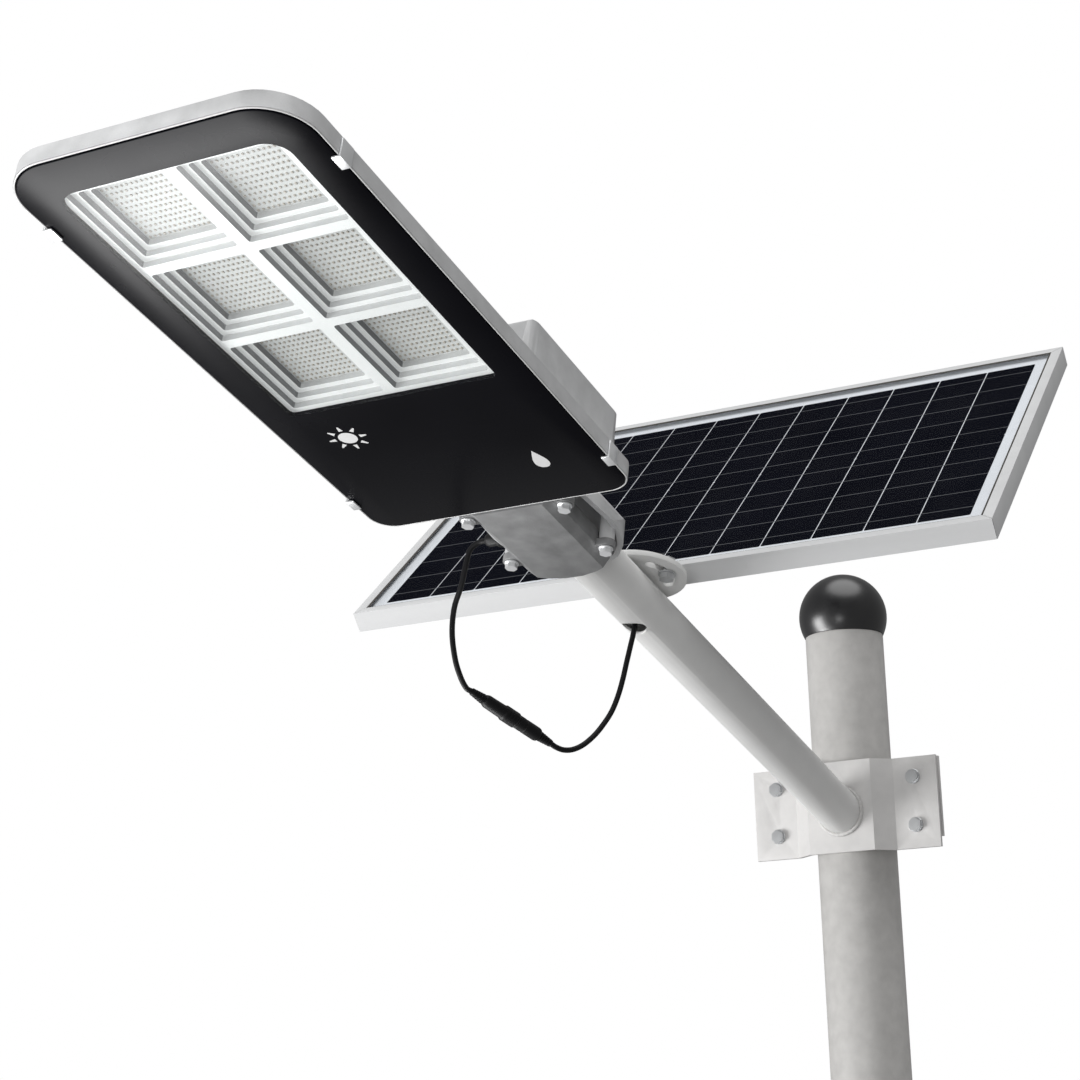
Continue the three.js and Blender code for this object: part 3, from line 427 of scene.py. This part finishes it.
def build_bolts():
    clamp_centre = 2799
    for i, (sy, sz) in enumerate(((-1, -1), (-1, 1), (1, -1), (1, 1))):
        y, z = sy * 81, clamp_centre + sz * 26.8
        bolt = hex_bolt(shank=4, length=29.4, across=7.5, head=4, washer=8.3)
        turn = Matrix.Translation((32.3 * MM, y * MM, z * MM)) @ Matrix.Rotation(-math.pi / 2, 4, "Y")
        piece(f"clamp_bolt_{i + 1}_hex", bolt, "bolt_steel", "arm", turn, (f"clamp_bolt_{i + 1}",), 25)
        refined(f"clamp_nut_{i + 1}", "bolt_steel", edge=0.3)
    for i, (u, v) in enumerate(((750, -46), (750, 46), (830, -46), (830, 46))):
        bolt = hex_bolt(shank=3, length=32, across=5.7, head=4.2, washer=6.4)
        place = ARM @ Matrix.Translation((u * MM, v * MM, -29.8 * MM)) @ Matrix.Rotation(0.4 * i, 4, "Z")
        piece(f"saddle_bolt_{i + 1}_hex", bolt, "clip_steel", "arm", place, (f"saddle_bolt_{i + 1}",), 25)
    for name in ("swivel_bolt_centre", "swivel_bolt_left", "swivel_bolt_right"):
        refined(name, "bolt_steel", ARM, 0.4)
    refined("pivot_bolt", "bolt_steel", PANEL, 0.4)


# ---------------------------------------------------------------- clamp and arm
def build_clamp_and_arm():
    refined("pole_clamp_front", "bracket_metal", edge=0.9)
    refined("pole_clamp_rear", "bracket_metal", edge=0.9)
    refined("arm_tube", "arm_paint", ARM, 0.35, smooth=40)
    # The bead follows the tube's outline on the clamp plate, which stands upright.
    plate_x, bead_radius = 51.4, 25.4
    bead = []
    for i in range(97):
        a = 2 * math.pi * i / 96
        v, w = bead_radius * math.cos(a), bead_radius * math.sin(a)
        u = (plate_x + w * math.sin(ARM_RISE)) / math.cos(ARM_RISE)
        bead.append(Vector((u, v, w)))
    piece("arm_weld", tube_along(bead, 2.3, 12, 0.1), "weld", "arm", ARM, smooth=60)
    refined("turntable_plate", "arm_paint", ARM, 0.5)
    seam = [Vector((560 + 72 * i / 40, 6, 23.4)) for i in range(41)]
    seam_mesh = tube_along(seam, 1.4, 10, 0.15)
    piece("turntable_weld", seam_mesh, "weld", "arm", ARM, smooth=60)


# ---------------------------------------------------------------- lamp head
HEAD = {"u0": 851, "u1": 1375, "half": 119, "front": 40, "rear": 20}
WINDOW = {"u0": 1036.5, "u1": 1341.5, "half": 92.7}


def head_outline(grow, z):
    front, rear = HEAD["front"] + grow, HEAD["rear"] + grow
    half = HEAD["half"] + grow
    return rounded(HEAD["u0"] - grow, HEAD["u1"] + grow, -half, half, front, rear, z)


def window_outline(grow, z, front=18, rear=5):
    half = WINDOW["half"] + grow
    return rounded(WINDOW["u0"] - grow, WINDOW["u1"] + grow, -half, half, front + grow, rear + grow, z)


def build_head():
    refined("lamp_housing", "cast_grey", ARM, 0.9, smooth=35)
    refined("glass_gasket", "seal_rubber", ARM, 0.0)
    for end in ("rear", "front"):
        for side in ("left", "right"):
            refined(f"glass_clip_{end}_{side}", "clip_steel", ARM, 0.3)

    border = [head_outline(0, -32.3), head_outline(0, -35.6), head_outline(-0.2, -36.1)]
    border += [head_outline(-0.7, -36.3), window_outline(0.0, -36.3), window_outline(0.0, -32.3)]
    frame_mesh = loft(border, closed_loop=True)
    piece("front_glass_border", frame_mesh, "printed_glass", "arm", ARM, ("front_glass",))
    # A real lip round the housing's rim, coloured lighter than the casting: a painted highlight.
    bead = head_outline(1.4, -34.9)
    bead.append(bead[0])
    rim = tube_along([Vector(point) for point in bead], 0.75, 10)
    piece("housing_rim_bead", rim, "rim_bead_painted_highlight", "arm", ARM, smooth=60)
    pane = [window_outline(-0.05, -36.25), window_outline(-0.05, -34.3)]
    piece("front_glass_window", loft(pane), "window_glass", "arm", ARM)


def build_optics():
    low, led = -32.0, -17.2  # the reflector's lower face, and the LED board's
    pitch_u = (WINDOW["u1"] - WINDOW["u0"]) / 3
    pitch_v = WINDOW["half"]
    treads = bmesh.new()
    risers = bmesh.new()
    chips = bmesh.new()
    cell_insets = (5.0, 10.5, 16.0)
    for column in range(3):
        for row in range(2):
            u = WINDOW["u0"] + pitch_u * (column + 0.5)
            v = -WINDOW["half"] + pitch_v * (row + 0.5)

            def outline(inset, z, radius=2.5):
                a, b = pitch_u / 2 - inset, pitch_v / 2 - inset
                return rounded(u - a, u + a, v - b, v + b, radius, radius, z, 6)

            last = outline(0.0, low, 0.05)
            for step, inset in enumerate(cell_insets):
                level = low + (led - low) * step / 3
                loft([last, outline(inset, level)], closed_ends=False, mesh=treads)
                deep = low + (led - low) * (step + 1) / 3
                loft([outline(inset, level), outline(inset + 0.25, deep)], closed_ends=False, mesh=risers)
                last = outline(inset + 0.25, deep)
            field = cell_insets[-1] + 3
            across, along = 14, 12
            for i in range(along):
                for j in range(across):
                    cu = u + (pitch_u - 2 * field) * (i / (along - 1) - 0.5)
                    cv = v + (pitch_v - 2 * field) * (j / (across - 1) - 0.5)
                    box(chips, cu - 1.0, cu + 1.0, cv - 0.8, cv + 0.8, 0, 0.8, 0.2)
    for vertex in chips.verts:
        vertex.co.z = led - vertex.co.z
    skirt = [window_outline(-0.1, low), window_outline(4.5, low), window_outline(4.5, led - 0.4)]
    loft(skirt, closed_ends=False, mesh=treads)
    # The treads' white glows faintly: painted light, no lamp.
    piece("reflector_treads", treads, "reflector_white", "arm", ARM, ("reflector_tray",))
    # Painted shade: the reflector is one white part, but its risers are split by facing; the side risers
    # take a dark grey and the end risers a mid grey.
    ends = risers.copy()
    for mesh, along in ((risers, False), (ends, True)):
        mesh.normal_update()
        spare = [face for face in mesh.faces if (abs(face.normal.x) > abs(face.normal.y)) != along]
        bmesh.ops.delete(mesh, geom=spare, context="FACES")
    piece("reflector_risers", risers, "riser_painted_shade", "arm", ARM)
    piece("reflector_end_risers", ends, "riser_painted_half_shade", "arm", ARM)
    piece("led_chips", chips, "chip_phosphor", "arm", ARM)
    refined("led_board", "led_board", ARM, 0.0)


def build_marks():
    """Two plain pictograms printed on the glass: a sun and a water drop."""
    low = -36.36
    sun = bmesh.new()

    def flat(points):
        loft([[(x, y, low) for x, y in points], [(x, y, low + 0.05) for x, y in points]], mesh=sun)

    cu, cv = 994, -66
    flat([(cu + 8 * math.cos(a), cv + 8 * math.sin(a)) for a in (2 * math.pi * i / 48 for i in range(48))])
    for i in range(8):
        a = 2 * math.pi * i / 8
        along, side = Vector((math.cos(a), math.sin(a))), Vector((-math.sin(a), math.cos(a)))
        centre = Vector((cu, cv))
        corners = [centre + along * r + side * s for r, s in ((11, -1.9), (17, -0.7), (17, 0.7), (11, 1.9))]
        flat([tuple(c) for c in corners])
    piece("print_sun", sun, "print_white", "arm", ARM)

    drop = bmesh.new()
    cu, cv, size = 916, 66, 9
    points = []
    for i in range(64):
        t = 2 * math.pi * i / 64
        points.append((cu + size * 1.5 * math.cos(t), cv + size * math.sin(t) * math.sin(t / 2) ** 1.5))
    loft([[(x, y, low) for x, y in points], [(x, y, low + 0.05) for x, y in points]], mesh=drop)
    piece("print_drop", drop, "print_white", "arm", ARM)


def build_saddle():
    # The saddle takes a darker grey than the housing's casting: painted shade.
    refined("spigot_saddle", "saddle_cast_painted_shade", ARM, 1.0)
    gland = [(0.01, 0), (3.2, 0), (3.2, 0.2), (4.6, 0.4), (5.8, 2.4), (6.2, 3.2), (6.2, 11.5), (7.6, 12.5)]
    gland += [(7.9, 13), (7.9, 15.6), (7.6, 16.2), (0.01, 16.2)]
    place = ARM @ Matrix.Translation((750 * MM, -74.5 * MM, -3 * MM)) @ Matrix.Rotation(-math.pi / 2, 4, "X")
    piece("lamp_gland_body", lathe(gland, 48), "gland_plastic", "arm", place, ("lamp_gland",), 28)
    refined("battery_pack", "battery_wrap", ARM, 0.8)
    refined("charge_controller", "circuit_board", ARM, 0.3)


# ---------------------------------------------------------------- solar panel
PANEL_SIZE = {"width": 663.6, "height": 418.8, "lip": 10.5, "glass_front": -1.2}


def build_panel():
    for name in ("panel_frame_bottom", "panel_frame_top", "panel_frame_left", "panel_frame_right"):
        refined(name, "frame_aluminium", PANEL, 0.35)
    for name in ("panel_rail_left", "panel_rail_right"):
        refined(name, "frame_aluminium", PANEL, 0.3)
    refined("tilt_bracket", "bracket_metal", PANEL, 0.6)
    refined("swivel_bracket", "bracket_metal", ARM, 0.6)
    refined("junction_box", "box_plastic", PANEL, 0.8)
    refined("junction_box_lid", "box_plastic", PANEL, 0.8)
    refined("solar_glass", "solar_glass", PANEL, 0.0)
    refined("solar_cells", "solar_cells", PANEL, 0.0)

    margin = 26
    half = PANEL_SIZE["width"] / 2 - margin
    low, high = -PANEL_SIZE["height"] + margin, -margin
    columns, rows, gap, seam, corner = 12, 2, 1.1, 0.4, 1
    wide = (2 * half + gap) / columns
    tall = (high - low + seam) / rows
    top = -4.52
    cells = bmesh.new()
    bars = bmesh.new()
    for row in range(rows):
        x0 = low + row * tall
        x1 = x0 + tall - seam
        for column in range(columns):
            y0 = -half + column * wide
            y1 = y0 + wide - gap
            outline = [(x0 + corner, y0), (x1 - corner, y0), (x1, y0 + corner), (x1, y1 - corner)]
            outline += [(x1 - corner, y1), (x0 + corner, y1), (x0, y1 - corner), (x0, y0 + corner)]
            loft([[(x, y, top - 0.18) for x, y in outline], [(x, y, top) for x, y in outline]], mesh=cells)
        for i in range(5):
            x = x0 + (x1 - x0) * (i + 0.5) / 5
            box(bars, x - 0.45, x + 0.45, -half, half, top + 0.002, top + 0.015, 0.01)
    piece("solar_cell_wafers", cells, "cell_blue", "panel", PANEL)
    piece("solar_busbars", bars, "busbar_tin", "panel", PANEL)

    lip, seal, front = PANEL_SIZE["lip"], 2.2, PANEL_SIZE["glass_front"] + 0.02
    rings = []
    for inset, z in ((lip, front), (lip, front + 0.9), (lip + seal, front + 0.3), (lip + seal, front)):
        side = PANEL_SIZE["width"] / 2 - inset
        rings.append(rounded(inset - PANEL_SIZE["height"], -inset, -side, side, 0.5, 0.5, z, 2))
    piece("solar_glass_seal", loft(rings, closed_loop=True), "seal_dark", "panel", PANEL)


# ---------------------------------------------------------------- surroundings
def area_light(name, at, aim, size, power):
    data = bpy.data.lights.new(name, "AREA")
    data.shape = "SQUARE"
    data.size = size
    data.energy = power
    made = bpy.data.objects.new(name, data)
    bpy.context.scene.collection.objects.link(made)
    made.location = at
    made.rotation_euler = (Vector(aim) - Vector(at)).to_track_quat("-Z", "Y").to_euler()
    return made


def build_surroundings():
    # The camera sees a white backdrop, and the pieces are lit by a dimmer one.
    world = bpy.data.worlds.new("world")
    world.use_nodes = True
    tree = world.node_tree
    seen = tree.nodes["Background"]
    seen.inputs["Color"].default_value = (1, 1, 1, 1)
    seen.inputs["Strength"].default_value = 1.0
    lighting = tree.nodes.new("ShaderNodeBackground")
    lighting.inputs["Color"].default_value = (1, 1, 1, 1)
    lighting.inputs["Strength"].default_value = 0.27
    path = tree.nodes.new("ShaderNodeLightPath")
    mix = tree.nodes.new("ShaderNodeMixShader")
    tree.links.new(path.outputs["Is Camera Ray"], mix.inputs["Fac"])
    tree.links.new(lighting.outputs["Background"], mix.inputs[1])
    tree.links.new(seen.outputs["Background"], mix.inputs[2])
    tree.links.new(mix.outputs["Shader"], tree.nodes["World Output"].inputs["Surface"])
    bpy.context.scene.world = world
    bpy.context.scene.view_settings.view_transform = "Standard"

    # The floor is left out of bounced light, so that it doesn't light the lamp from below.
    reach = 30000
    corners = ((-reach, -reach), (reach, -reach), (reach, reach), (-reach, reach))
    floor = loft([[(x, y, z) for x, y in corners] for z in (-30, -0.5)])
    bmesh.ops.transform(floor, matrix=Matrix.Scale(MM, 4), verts=floor.verts)
    bmesh.ops.recalc_face_normals(floor, faces=floor.faces)
    data = bpy.data.meshes.new("floor")
    floor.to_mesh(data)
    floor.free()
    data.materials.append(material("floor_plain", (0.62, 0.62, 0.61), 0.8, fleck=0.01, fleck_scale=3))
    made = bpy.data.objects.new("floor", data)
    bpy.context.scene.collection.objects.link(made)
    made.visible_diffuse = False
    made.visible_glossy = False

    area_light("key", (2.5, -3.0, 2.0), (0.6, 0, 3.0), 1.8, 130)
    area_light("front", (3.4, 0.3, 2.4), (0.6, 0, 3.0), 1.2, 18)
    sky_data = bpy.data.lights.new("sky", "SUN")
    sky_data.energy = 2.0
    sky_data.angle = math.radians(60)
    sky = bpy.data.objects.new("sky", sky_data)
    bpy.context.scene.collection.objects.link(sky)
    sky.rotation_euler = (math.radians(-9), math.radians(9), 0)
    # A card that only shows as the sheen on the glass.
    card = area_light("glass_card", (0.95, -0.85, 1.95), (1.28, 0.0, 3.08), 0.75, 32)
    card.visible_diffuse = False
    card.visible_transmission = False


build_camera()
build_leads()
build_pole()
build_bolts()
build_clamp_and_arm()
build_head()
build_optics()
build_marks()
build_saddle()
build_panel()
build_surroundings()
